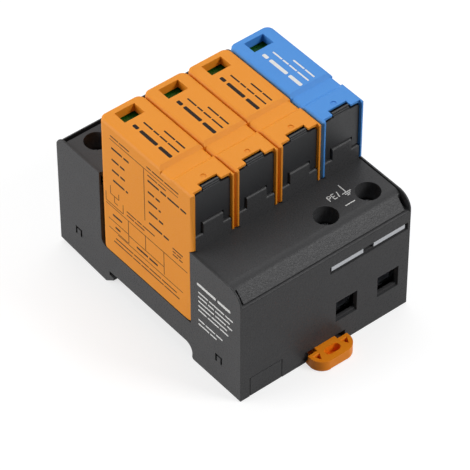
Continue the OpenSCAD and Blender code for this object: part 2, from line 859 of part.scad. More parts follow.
// Insert of a plug: floor, inner wall, front panel over the bay's panel and the stepped finger grip
module carrier(k) {
    half_w = plug_w / 2 - carrier_in;
    panel_end = plug_top - lip_t - panel_gap;
    inner_wall = bay_front + panel_t + play;
    grip_half = lip_notch_w / 2 - grip_side;
    notch_rear = flange_tip + lip_setback + lip_notch_d;
    color(carrier_black) placed() translate([pole_x(k), 0, 0]) difference() {
        union() {
            block([-half_w, inner_wall, plug_low], [half_w, plug_rear - cover_wall - fit, block_low]);
            block([-half_w, inner_wall, plug_low], [half_w, inner_wall + cover_wall, panel_end]);
            block([-half_w, insert_face, panel_top + tab_gap], [half_w, inner_wall + cover_wall, panel_end]);
            along_x(-grip_half, grip_half) grip_outline(panel_end);
        }
        block([-tab_w / 2 - tab_gap, insert_face - over, panel_top - over],
            [tab_w / 2 + tab_gap, inner_wall, tab_top + play]);
        block([-grip_half, insert_face + grip_gap, panel_end - grip_drop - grip_root],
            [grip_half, notch_rear, panel_end + over]);
        along_x(-half_w - over, half_w + over)
            translate([plug_rear, plug_low]) mirror([1, 0]) corner_waste(plug_round);
        along_y(insert_face - over, inner_wall + cover_wall + over) {
            translate([-half_w, panel_end]) mirror([0, 1]) corner_waste(lip_corner);
            translate([half_w, panel_end]) rotate(180) corner_waste(lip_corner);
        }
        for (y = [front_blade, rear_blade]) {
            block([-blade_w / 2, y - blade_t / 2, plug_low - over],
                [blade_w / 2, y + blade_t / 2, block_low + over]);
        }
    }
}

// Arrester block of a plug, standing on the insert between the two blades
module arrester_block(k, finish) {
    front = front_blade + blade_t / 2 + block_gap;
    rear = rear_blade - blade_t / 2 - block_gap;
    color(finish) placed() along_x(pole_x(k) - block_t / 2, pole_x(k) + block_t / 2) difference() {
        translate([front, block_low]) square([rear - front, block_h]);
        translate([front, block_top]) mirror([0, 1]) corner_waste(block_round);
        translate([rear, block_top]) rotate(180) corner_waste(block_round);
    }
}

// Blade of a plug, from its fork to the arrester block
module blade(k, y, tab) {
    color(copper) placed()
        block([pole_x(k) - blade_w / 2, y - blade_t / 2, blade_tip],
            [pole_x(k) + blade_w / 2, y + blade_t / 2, block_low + tab]);
}

// Bracket on the arrester block: its red top shows once the flag has slid away
module trip_frame(k) {
    color(fault_red) placed() along_x(pole_x(k) - frame_w / 2, pole_x(k) + frame_w / 2) {
        translate([frame_front, frame_top - frame_t]) square([flag_rear - frame_front, frame_t]);
        for (y = [frame_front, frame_leg]) {
            translate([y, block_top]) square([frame_t, frame_top - block_top - frame_t / 2]);
        }
    }
}

// Green flag under the status window, which slides forward when the plug has tripped
module status_flag(k) {
    color(ready_green) placed()
        block([pole_x(k) - flag_w / 2, flag_front, flag_low], [pole_x(k) + flag_w / 2, flag_rear, flag_top]);
}

base_tub();
base_deck();
signal_port_blank();
rail_foot();
cage(pole_x(0), rear_screw_y);  // l1_cage
cage(pole_x(1), rear_screw_y);  // l2_cage
cage(pole_x(2), rear_screw_y);  // l3_cage
cage(pole_x(3), rear_screw_y);  // n_cage
cage(pole_x(2), front_screw);  // pe1_cage
cage(pole_x(3), front_screw);  // pe2_cage
clamp_screw(pole_x(0), rear_screw_y);  // l1_screw
clamp_screw(pole_x(1), rear_screw_y);  // l2_screw
clamp_screw(pole_x(2), rear_screw_y);  // l3_screw
clamp_screw(pole_x(3), rear_screw_y);  // n_screw
clamp_screw(pole_x(2), front_screw);  // pe1_screw
clamp_screw(pole_x(3), front_screw);  // pe2_screw
line_contact(0);  // l1_contact
line_contact(1);  // l2_contact
line_contact(2);  // l3_contact
neutral_busbar();
pe_busbar();
cover(0, orange);  // l1_cover
cover(1, orange);  // l2_cover
cover(2, orange);  // l3_cover
cover(3, blue);  // n_cover
carrier(0);  // l1_carrier
carrier(1);  // l2_carrier
carrier(2);  // l3_carrier
carrier(3);  // n_carrier
arrester_block(0, block_blue);  // l1_varistor
arrester_block(1, block_blue);  // l2_varistor
arrester_block(2, block_blue);  // l3_varistor
arrester_block(3, steel);  // n_spark_gap
blade(0, rear_blade, line_tab);  // l1_line_blade
blade(1, rear_blade, line_tab);  // l2_line_blade
blade(2, rear_blade, line_tab);  // l3_line_blade
blade(3, rear_blade, line_tab);  // n_line_blade
blade(0, front_blade, common_tab);  // l1_common_blade
blade(1, front_blade, common_tab);  // l2_common_blade
blade(2, front_blade, common_tab);  // l3_common_blade
blade(3, front_blade, common_tab);  // n_common_blade
trip_frame(0);  // l1_trip_frame
trip_frame(1);  // l2_trip_frame
trip_frame(2);  // l3_trip_frame
trip_frame(3);  // n_trip_frame
status_flag(0);  // l1_status_flag
status_flag(1);  // l2_status_flag
status_flag(2);  // l3_status_flag
status_flag(3);  // n_status_flag
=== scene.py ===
"""Looks of a four-pole din rail surge arrester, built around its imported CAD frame.

The mouldings are copies of the CAD solids with softened edges, and the plug covers get rounder rear corners.
The print is thin ink on their faces, and the metal inside keeps its CAD shape. Everything is in metres, in the
frame's own axes: X along the rail, -Y towards the earth terminals and +Z the way in which the plugs pull out.
"""

import logging
import math
from abc import ABC, abstractmethod
from dataclasses import dataclass, field
from enum import Enum
from typing import ClassVar

import bmesh
import bpy
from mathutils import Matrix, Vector
from mathutils.bvhtree import BVHTree


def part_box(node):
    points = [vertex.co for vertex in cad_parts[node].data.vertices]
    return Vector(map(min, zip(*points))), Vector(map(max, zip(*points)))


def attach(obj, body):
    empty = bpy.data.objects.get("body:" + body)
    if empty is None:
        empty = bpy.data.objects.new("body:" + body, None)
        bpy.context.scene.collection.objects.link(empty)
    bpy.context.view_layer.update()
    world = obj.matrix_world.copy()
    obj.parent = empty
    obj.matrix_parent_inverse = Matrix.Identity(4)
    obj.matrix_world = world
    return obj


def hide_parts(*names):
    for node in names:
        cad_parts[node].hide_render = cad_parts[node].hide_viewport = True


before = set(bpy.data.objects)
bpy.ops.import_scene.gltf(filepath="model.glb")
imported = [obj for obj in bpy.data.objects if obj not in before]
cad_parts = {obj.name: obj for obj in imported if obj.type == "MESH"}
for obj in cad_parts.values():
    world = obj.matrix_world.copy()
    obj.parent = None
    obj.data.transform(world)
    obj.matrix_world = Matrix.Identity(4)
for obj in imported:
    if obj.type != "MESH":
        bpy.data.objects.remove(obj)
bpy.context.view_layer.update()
LOG = logging.getLogger("surge_arrester")

MM = 0.001
X, Y, Z = Vector((1, 0, 0)), Vector((0, 1, 0)), Vector((0, 0, 1))

# Angles between two faces that are one flat face, that shade as a sharp edge, that get rounded, and that are a fold.
FLAT, CREASE, CORNER, FOLDED = (math.radians(angle) for angle in (0.3, 30, 38, 140))
# Distances within which two vertices are one: in a CAD mesh, and where a plane cuts a mesh.
WELD, CUT = 0.00001 * MM, 0.0001 * MM
# Rounding of edges, in radii: the shortest edge that takes it, the farthest that a vertex may leave the CAD surface,
# and the distance that each new try keeps from the faults of the tries before.
SHORTEST, STRAY, KEPT_OFF = 2.0, 0.8, (0.0, 2.0, 4.0, 8.0)

# Octaves of noise in a colour's clouds and in a surface's grain, and the range that such noise fills.
CLOUD_OCTAVES, GRAIN_OCTAVES = 3.0, 2.0
NOISE_LOW, NOISE_HIGH = 0.3, 0.7

# A point across and up a face, a line through several points, and a row of dashes: its start, end and level, and
# the dashes' relative lengths. All are in millimetres.
Point = tuple[float, float]
Line = tuple[Point, ...]
Row = tuple[float, float, float, tuple[int, ...]]


def linear(colour: str) -> tuple[float, float, float, float]:
    """Turns an sRGB hex colour into linear light.

    Args:
        colour: A hash and six hex digits, as "#ee9a3a".

    Returns:
        Red, green, blue and an alpha of 1, for a shader socket.
    """
    channels = [int(colour[i:i + 2], 16) / 255 for i in (1, 3, 5)]
    return (*(c / 12.92 if c <= 0.04045 else ((c + 0.055) / 1.055) ** 2.4 for c in channels), 1.0)


def add_node(tree: bpy.types.NodeTree, kind: str, settings: dict[str | int, object] | None = None,
             links: dict[str | int, bpy.types.NodeSocket] | None = None) -> bpy.types.Node:
    """Adds a shader node with its settings and links.

    Args:
        tree: The material's or world's node tree.
        kind: Blender's name for the node's type.
        settings: Properties of the node, and values of its inputs by name or number.
        links: Inputs by name or number, each with the output that feeds it.

    Returns:
        The new node.
    """
    made = tree.nodes.new(kind)
    for key, value in (settings or {}).items():
        if isinstance(key, str) and hasattr(made, key):
            setattr(made, key, value)
        else:
            made.inputs[key].default_value = value
    for key, source in (links or {}).items():
        tree.links.new(source, made.inputs[key])
    return made


@dataclass(frozen=True)
class Finish(ABC):
    """What a surface is made of and how it was made.

    Attributes:
        name: Name of the Blender material.
        colour: Colour of most of the surface, as sRGB hex.
        shade: Second colour that the first one drifts into, as sRGB hex.
        roughness: Mean roughness.
        grain: Size of the surface's grain, in millimetres.
        relief: Height of the grain, in millimetres.
    """

    name: str
    colour: str
    shade: str
    roughness: float
    grain: float
    relief: float

    @abstractmethod
    def wire(self, tree: bpy.types.NodeTree, shader: bpy.types.Node) -> None:
        """Adds the nodes that make this finish.

        Args:
            tree: The material's node tree.
            shader: Its Principled shader.
        """

    def material(self) -> bpy.types.Material:
        """Makes the material once and finds it again after that.

        Returns:
            The Blender material of this finish.
        """
        made = bpy.data.materials.get(self.name)
        if made is None:
            made = bpy.data.materials.new(self.name)
            made.use_nodes = True
            made.diffuse_color = linear(self.colour)
            self.wire(made.node_tree, made.node_tree.nodes["Principled BSDF"])
        return made

    def drift(self, tree: bpy.types.NodeTree, shader: bpy.types.Node, place: bpy.types.NodeSocket,
              size: float) -> None:
        """Lets the two colours drift into each other over the surface.

        Args:
            tree: The material's node tree.
            shader: Its Principled shader.
            place: The coordinates to draw in.
            size: Size of the drift's patches, in millimetres.
        """
        patches = add_node(tree, "ShaderNodeTexNoise", {"Scale": 1 / (size * MM), "Detail": CLOUD_OCTAVES},
                           {"Vector": place})
        mixed = add_node(tree, "ShaderNodeMix",
                         {"data_type": "RGBA", 6: linear(self.colour), 7: linear(self.shade)},
                         {0: patches.outputs[0]})
        tree.links.new(mixed.outputs[2], shader.inputs["Base Color"])

    def texture(self, tree: bpy.types.NodeTree, shader: bpy.types.Node, place: bpy.types.NodeSocket,
                spread: float) -> None:
        """Gives the surface its grain, as relief and as a change of roughness.

        Args:
            tree: The material's node tree.
            shader: Its Principled shader.
            place: The coordinates to draw in.
            spread: How far the roughness goes to either side of its mean.
        """
        grain = add_node(tree, "ShaderNodeTexNoise", {"Scale": 1 / (self.grain * MM), "Detail": GRAIN_OCTAVES},
                         {"Vector": place})
        rough = add_node(tree, "ShaderNodeMapRange",
                         {1: NOISE_LOW, 2: NOISE_HIGH, 3: self.roughness - spread, 4: self.roughness + spread},
                         {0: grain.outputs[0]})
        bump = add_node(tree, "ShaderNodeBump", {"Strength": 1.0, "Distance": self.relief * MM},
                        {"Height": grain.outputs[0]})
        tree.links.new(rough.outputs[0], shader.inputs["Roughness"])
        tree.links.new(bump.outputs["Normal"], shader.inputs["Normal"])


@dataclass(frozen=True)
class MouldedPolymer(Finish):
    """Injection-moulded plastic: body colour all through, faint flow clouds and the tool's texture on top.

    Attributes:
        ior: Index of refraction of the polymer.
        flow: Size of the flow clouds, in millimetres.
        gloss: Specular level: under 0.5 where the tool's texture swallows part of the shine.
        spread: How far the roughness goes to either side of its mean.
    """

    ior: float = 1.53
    flow: float = 9.0
    gloss: float = 0.5
    spread: ClassVar[float] = 0.07

    def wire(self, tree: bpy.types.NodeTree, shader: bpy.types.Node) -> None:
        """Adds the flow clouds and the tool's texture.

        Args:
            tree: The material's node tree.
            shader: Its Principled shader.
        """
        place = add_node(tree, "ShaderNodeTexCoord").outputs["Object"]
        shader.inputs["IOR"].default_value = self.ior
        shader.inputs["Specular IOR Level"].default_value = self.gloss
        self.drift(tree, shader, place, self.flow)
        self.texture(tree, shader, place, self.spread)


@dataclass(frozen=True)
class PlainMetal(Finish):
    """Bare or plated metal, with the fine lines of rolling or drawing along one direction.

    Attributes:
        lines: Stretch of the lines along X, Y and Z, as a share of the grain's scale.
        clouds: Size of the cloudy tone's patches, in millimetres.
        spread: How far the roughness goes to either side of its mean.
    """

    lines: ClassVar[tuple[float, float, float]] = (1.0, 0.08, 1.0)
    clouds: ClassVar[float] = 4.0
    spread: ClassVar[float] = 0.1

    def wire(self, tree: bpy.types.NodeTree, shader: bpy.types.Node) -> None:
        """Adds the drawn lines and the cloudy tone of the metal.

        Args:
            tree: The material's node tree.
            shader: Its Principled shader.
        """
        place = add_node(tree, "ShaderNodeTexCoord").outputs["Object"]
        drawn = add_node(tree, "ShaderNodeMapping", {"Scale": self.lines}, {"Vector": place})
        shader.inputs["Metallic"].default_value = 1.0
        self.drift(tree, shader, place, self.clouds)
        self.texture(tree, shader, drawn.outputs["Vector"], self.spread)


@dataclass(frozen=True)
class PrintedInk(Finish):
    """Pad-printed ink: a thin matt film that covers a little unevenly.

    Attributes:
        clouds: Size of the thicker and thinner patches, in millimetres.
        gloss: Specular level of the matt film.
        spread: How far the roughness goes to either side of its mean.
    """

    clouds: ClassVar[float] = 0.8
    gloss: ClassVar[float] = 0.15
    spread: ClassVar[float] = 0.05

    def wire(self, tree: bpy.types.NodeTree, shader: bpy.types.Node) -> None:
        """Adds the uneven cover and the matt film.

        Args:
            tree: The material's node tree.
            shader: Its Principled shader.
        """
        place = add_node(tree, "ShaderNodeTexCoord").outputs["Object"]
        shader.inputs["Specular IOR Level"].default_value = self.gloss
        self.drift(tree, shader, place, self.clouds)
        self.texture(tree, shader, place, self.spread)


# Glass-filled polyamide from a spark-eroded tool: black that scatters a grey sheen, with a pebbled skin. The real
# pebbles are about 0.1 mm: they are drawn at 0.6 mm, or they would be lost between two pixels. The other mouldings'
# grain, finer still, is drawn at about half a millimetre for the same reason.
BASE_BLACK = MouldedPolymer("polyamide_black_spark_eroded", "#404041", "#464647",
                            roughness=0.3, grain=0.6, relief=0.075, gloss=0.07)
# The same polyamide from a polished tool: darker, with a soft gloss on the plugs' fronts and grips.
CARRIER_BLACK = MouldedPolymer("polyamide_black_polished", "#151618", "#191a1d",
                               roughness=0.42, grain=0.6, relief=0.004, gloss=0.4)
# Unfilled polyamide in signal orange from a finely blasted tool: satin, even, warm where the light grazes it.
COVER_ORANGE = MouldedPolymer("polyamide_orange_satin", "#e18c19", "#dd8715",
                              roughness=0.6, grain=0.5, relief=0.006, gloss=0.4)
# The same satin skin in light blue, the colour of the neutral conductor.
COVER_BLUE = MouldedPolymer("polyamide_blue_satin", "#468bd4", "#4085ce",
                            roughness=0.6, grain=0.5, relief=0.006, gloss=0.4)
# Acetal for the sliding foot: a waxy, smoother orange that runs well on polyamide. Its colour is painted lighter
# than its own, as painted light that makes up for the shade that the body casts on the foot.
FOOT_ORANGE_WITH_PAINTED_LIGHT = MouldedPolymer("acetal_orange_moulded", "#ff961c", "#ff9017",
                             roughness=0.42, grain=0.5, relief=0.006, ior=1.48, gloss=0.2)
# Glossy red and green signal parts, moulded in a polished tool.
FAULT_RED = MouldedPolymer("polyamide_red_polished", "#b5170f", "#a9120c",
                           roughness=0.3, grain=0.6, relief=0.003)
READY_GREEN = MouldedPolymer("polyamide_green_polished", "#1c5c16", "#175212",
                             roughness=0.3, grain=0.6, relief=0.003)
# Dipped epoxy over the varistor disc: thick, rounded, with the slow waves of a dipped coat.
VARISTOR_COAT = MouldedPolymer("epoxy_blue_dipped", "#2b4a78", "#27446f",
                               roughness=0.32, grain=2.5, relief=0.04, ior=1.55, flow=6.0)
# Moulded mineral-filled case of the spark gap: chalky grey with fine specks.
SPARK_GAP_CASE = MouldedPolymer("polyester_grey_mineral_filled", "#8f9089", "#82837c",
                                roughness=0.6, grain=0.4, relief=0.01, flow=1.2)
# Zinc-plated and passivated steel: bright, faintly clouded, drawn lines down the cage's strip.
ZINC_STEEL = PlainMetal("steel_zinc_plated", "#c9ccd0", "#b4b8be", roughness=0.34, grain=0.5, relief=0.004)
# Stamped copper strip: warm, with rolling lines along its length.
COPPER_STRIP = PlainMetal("copper_rolled_strip", "#d99a74", "#c98a66", roughness=0.3, grain=0.4, relief=0.004)
# The earth strip is tin-plated: pale grey and softly clouded, with a dull shine.
TIN_STRIP = PlainMetal("copper_tin_plated", "#b2b4b7", "#9fa1a5", roughness=0.42, grain=0.4, relief=0.004)
# Matt black and white pad-printing inks: flat films with hardly any shine.
BLACK_INK = PrintedInk("ink_black_pad_printed", "#120c08", "#1c130c", roughness=0.6, grain=0.3, relief=0.002)
WHITE_INK = PrintedInk("ink_white_pad_printed", "#e4e4e2", "#d4d4d2", roughness=0.6, grain=0.3, relief=0.002)


def place_mesh(name: str, shape: bmesh.types.BMesh) -> bpy.types.Object:
    """Turns a finished shape into an object of the scene.

    Args:
        name: Name of the new object.
        shape: Its mesh, which is freed.

    Returns:
        The new object.
    """
    mesh = bpy.data.meshes.new(name)
    shape.to_mesh(mesh)
    shape.free()
    piece = bpy.data.objects.new(name, mesh)
    bpy.context.scene.collection.objects.link(piece)
    return piece


def put(piece: bpy.types.Object, body: str, finish: Finish) -> None:
    """Hangs a finished piece on its body and gives it its material.

    Args:
        piece: The new object, in its place.
        body: The CAD body that carries it.
        finish: What it is made of.
    """
    piece.data.materials.clear()
    piece.data.materials.append(finish.material())
    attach(piece, body)
    LOG.info("%s: %d faces on %s in %s", piece.name, len(piece.data.polygons), body, finish.name)


def paint(node: str, finish: Finish) -> None:
    """Gives a CAD node that keeps its shape its material.

    Args:
        node: The CAD node.
        finish: What it is made of.
    """
    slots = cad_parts[node].data.materials
    slots.clear()
    slots.append(finish.material())
    LOG.info("%s: CAD shape in %s", node, finish.name)


def faults(shape: bmesh.types.BMesh, surface: BVHTree, limit: float) -> list[Vector]:
    """Finds where rounded edges ran into each other.

    Args:
        shape: The mesh with its edges rounded.
        surface: The surface as it was before.
        limit: Distance from that surface that no vertex may pass.

    Returns:
        The places of vertices that left the surface, and of faces that folded over.
    """
    strays = [v.co.copy() for v in shape.verts if surface.find_nearest(v.co)[3] > limit]
    folds = [e for e in shape.edges if e.is_manifold and e.calc_face_angle() > FOLDED]
    return strays + [v.co.copy() for e in folds for v in e.verts]


def rounded(node: str, radius: float) -> bmesh.types.BMesh:
    """Copies a CAD solid and rounds its outer edges, apart from those that have no room for it.

    Args:
        node: The CAD node.
        radius: Width of the rounding, in metres.

    Returns:
        The rounded mesh.
    """
    spoilt: list[Vector] = []
    for distance in KEPT_OFF:
        shape = bmesh.new()
        shape.from_mesh(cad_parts[node].data)
        bmesh.ops.remove_doubles(shape, verts=shape.verts, dist=WELD)
        bmesh.ops.dissolve_limit(shape, angle_limit=FLAT, verts=shape.verts, edges=shape.edges)
        surface = BVHTree.FromBMesh(shape)
        sharp = [e for e in shape.edges
                 if e.is_manifold and e.is_convex and e.calc_face_angle() > CORNER
                 and e.calc_length() > SHORTEST * radius]
        edges = [e for e in sharp
                 if not any((v.co - fault).length < distance * radius for v in e.verts for fault in spoilt)]
        bmesh.ops.bevel(shape, geom=edges, offset=radius, offset_type="OFFSET", segments=2, profile=0.5,
                        affect="EDGES", clamp_overlap=False)
        found = faults(shape, surface, STRAY * radius)
        LOG.info("%s: %d edges rounded, %d faults", node, len(edges), len(found))
        if not found:
            break
        spoilt += found
    return shape


def softened(node: str, name: str, radius: float) -> bpy.types.Object:
    """Copies a CAD moulding and rounds its edges as a tool leaves them.

    Args:
        node: The CAD node that the copy stands for.
        name: Name of the new piece.
        radius: Width of the rounding, in millimetres.

    Returns:
        The new piece, in the node's place.
    """
    piece = place_mesh(name, rounded(node, radius * MM))
    mesh = piece.data
    if "custom_normal" in mesh.attributes:
        mesh.attributes.remove(mesh.attributes["custom_normal"])
    mesh.polygons.foreach_set("use_smooth", [True] * len(mesh.polygons))
    mesh.set_sharp_from_angle(angle=CREASE)
    piece.modifiers.new("even_shading", "WEIGHTED_NORMAL").keep_sharp = True
    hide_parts(node)
    return piece


@dataclass
class PrintSheet:
    """Ink on one flat face, drawn in millimetres along two directions of that face.

    Attributes:
        corner: Where the drawing's zero lies, in the frame.
        across: Direction in which the words run.
        up: Direction in which the letters stand.
        outlines: The closed outlines drawn so far, in millimetres.
        film: Thickness of the ink, in millimetres.
        clip: Length of a bar's clipped corners, as a share of its width.
        shoulder: Width that the clipped corners leave at a bar's ends, as a share of its width.
        gap: Space between two dashes of a row, as a share of their height.
    """

    corner: Vector
    across: Vector
    up: Vector
    outlines: list[list[Point]] = field(default_factory=list)
    film: ClassVar[float] = 0.015
    clip: ClassVar[float] = 0.2
    shoulder: ClassVar[float] = 0.6
    gap: ClassVar[float] = 0.8

    def bar(self, start: Point, end: Point, width: float) -> None:
        """Draws a straight bar with clipped corners between two points.

        Args:
            start: First end, across and up.
            end: Second end.
            width: Width of the bar.
        """
        a, b = Vector(start), Vector(end)
        along = (b - a).normalized()
        side = Vector((-along.y, along.x)) * (width / 2)
        clip = along * min(width * self.clip, (b - a).length / 4)
        shoulder = side * self.shoulder
        ring = [a + clip - side, b - clip - side, b - shoulder, b + shoulder,
                b - clip + side, a + clip + side, a + shoulder, a - shoulder]
        self.outlines.append([tuple(p) for p in ring])

    def strokes(self, lines: tuple[Line, ...], width: float) -> None:
        """Draws lines of bars, each through its own points.

        Args:
            lines: The corners of each line.
            width: Width of the lines.
        """
        for points in lines:
            for start, end in zip(points, points[1:]):
                self.bar(start, end, width)

    def rows(self, rows: tuple[Row, ...], height: float) -> None:
        """Draws rows of plain dashes, as words are spaced.

        Args:
            rows: Start, end and level of each row, and the relative lengths of its dashes.
            height: Height of the dashes.
        """
        space = self.gap * height
        for start, end, level, words in rows:
            unit = (end - start - space * (len(words) - 1)) / sum(words)
            for count in words:
                self.bar((start, level), (start + unit * count, level), height)
                start += unit * count + space

    def build(self, name: str) -> bpy.types.Object:
        """Makes the ink's mesh from all outlines.

        Args:
            name: Name of the new piece.

        Returns:
            The ink, in its place.
        """
        shape = bmesh.new()
        lift = self.across.cross(self.up) * (self.film * MM)
        for ring in self.outlines:
            points = [self.corner + (self.across * a + self.up * u) * MM for a, u in ring]
            low = [shape.verts.new(p) for p in points]
            high = [shape.verts.new(p + lift) for p in points]
            shape.faces.new(high)
            shape.faces.new(low[::-1])
            for i in range(len(ring)):
                j = (i + 1) % len(ring)
                shape.faces.new((low[i], low[j], high[j], high[i]))
        return place_mesh(name, shape)


@dataclass
class Base:
    """Black base: tub, terminal deck and port blank, with the strips inside and the white print.

    Attributes:
        edge: Rounding of the mouldings' edges, in millimetres.
        deck_top: Height of the terminal deck.
        text_start: Distance of the side wall's text from the front face, at its rear end.
        stroke: Width of the white lines.
        link_stroke: Width of the line that joins both earth terminals.
        heading_height: Height of the side wall's first row.
        line_height: Height of its other rows.
        mouldings: The base's CAD mouldings, each with the name of its dressed copy.
        strips: The copper strips inside.
        mark: Lines of the earth terminals' mark and symbol, from the tub's front left corner.
        link: Line that joins both terminals, measured in the same way.
        heading: First row on the side wall, from its rear end and the underside.
        lines: The other rows there.
    """

    edge: float = 0.16
    deck_top: float = 48.6
    text_start: float = 22.2
    stroke: float = 0.36
    link_stroke: float = 0.396
    heading_height: float = 1.2
    line_height: float = 0.65
    mouldings: ClassVar[dict[str, str]] = {
        "base_tub": "tub_moulding", "base_deck": "deck_moulding", "signal_port_blank": "port_blank_moulding"}
    strips: ClassVar[tuple[str, ...]] = ("l1_contact", "l2_contact", "l3_contact", "neutral_busbar")
    mark: ClassVar[tuple[Line, ...]] = (
        ((50.4, 15.4), (50.4, 17.7), (51.3, 17.7), (51.65, 17.15), (51.3, 16.6), (50.4, 16.6)),
        ((53.4, 15.4), (52.2, 15.4), (52.2, 17.7), (53.4, 17.7)), ((52.2, 16.55), (53.2, 16.55)),
        ((54.1, 15.2), (54.8, 17.8)), ((57.2, 15.6), (57.2, 19.7)),
        ((55.5, 15.6), (59.1, 15.6)), ((56.1, 14.9), (58.4, 14.9)), ((56.6, 14.25), (57.8, 14.25)))
    link: ClassVar[tuple[Line, ...]] = (((52.8, 10.9), (56.9, 10.9)),)
    heading: ClassVar[tuple[Row, ...]] = ((0.0, 17.0, 37.8, (6, 4)),)
    lines: ClassVar[tuple[Row, ...]] = (
        (0.6, 18.3, 34.3, (4, 6, 3)), (0.6, 16.8, 32.3, (3, 2, 5)), (0.6, 18.0, 30.2, (6, 4, 2)),
        (0.6, 15.3, 28.1, (4, 5)), (0.6, 16.0, 26.1, (3, 4, 3)), (0.6, 13.0, 21.6, (2, 3, 2)),
        (0.6, 10.0, 19.6, (5, 3)))

    def build(self) -> None:
        """Makes the mouldings and the print."""
        for node, name in self.mouldings.items():
            put(softened(node, name, self.edge), "base", BASE_BLACK)
        put(self.deck_marks(), "base", WHITE_INK)
        put(self.side_text(), "base", WHITE_INK)

    def dress(self) -> None:
        """Gives the strips inside their copper and the earth strip its tin."""
        for node in self.strips:
            paint(node, COPPER_STRIP)
        paint("pe_busbar", TIN_STRIP)

    def deck_marks(self) -> bpy.types.Object:
        """Draws the earth terminals' mark, the earth symbol and the line that joins both terminals.

        Returns:
            The ink on the front deck.
        """
        sheet = PrintSheet(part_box("base_tub")[0] + Z * self.deck_top * MM, X, Y)
        sheet.strokes(self.mark, self.stroke)
        sheet.strokes(self.link, self.link_stroke)
        return sheet.build("deck_marks_print")

    def side_text(self) -> bpy.types.Object:
        """Draws the block of plain rows on the left side wall.

        Returns:
            The ink on the side wall.
        """
        sheet = PrintSheet(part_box("base_tub")[0] + Y * self.text_start * MM, -Y, Z)
        sheet.rows(self.heading, self.heading_height)
        sheet.rows(self.lines, self.line_height)
        return sheet.build("side_text_print")


@dataclass
class Foot:
    """Sliding foot that catches the rail.

    Attributes:
        edge: Rounding of its edges, in millimetres.
    """

    edge: float = 0.3

    def build(self) -> None:
        """Makes the foot's moulding."""
        put(softened("rail_foot", "foot_moulding", self.edge), "foot", FOOT_ORANGE_WITH_PAINTED_LIGHT)


class Clamp(Enum):
    """The six screw clamps, by their short names."""

    L1 = "l1"
    L2 = "l2"
    L3 = "l3"
    NEUTRAL = "n"
    EARTH_1 = "pe1"
    EARTH_2 = "pe2"


@dataclass
class Terminal:
    """One screw clamp: a lifting cage and its screw, which keep their CAD shapes.

    Attributes:
        clamp: Which of the clamps it is.
    """

    clamp: Clamp

    def dress(self) -> None:
        """Gives the cage and the screw their zinc."""
        for part in ("cage", "screw"):
            paint(f"{self.clamp.value}_{part}", ZINC_STEEL)


class Pole(Enum):
    """The four poles, by their short names."""

    L1 = "l1"
    L2 = "l2"
    L3 = "l3"
    NEUTRAL = "n"


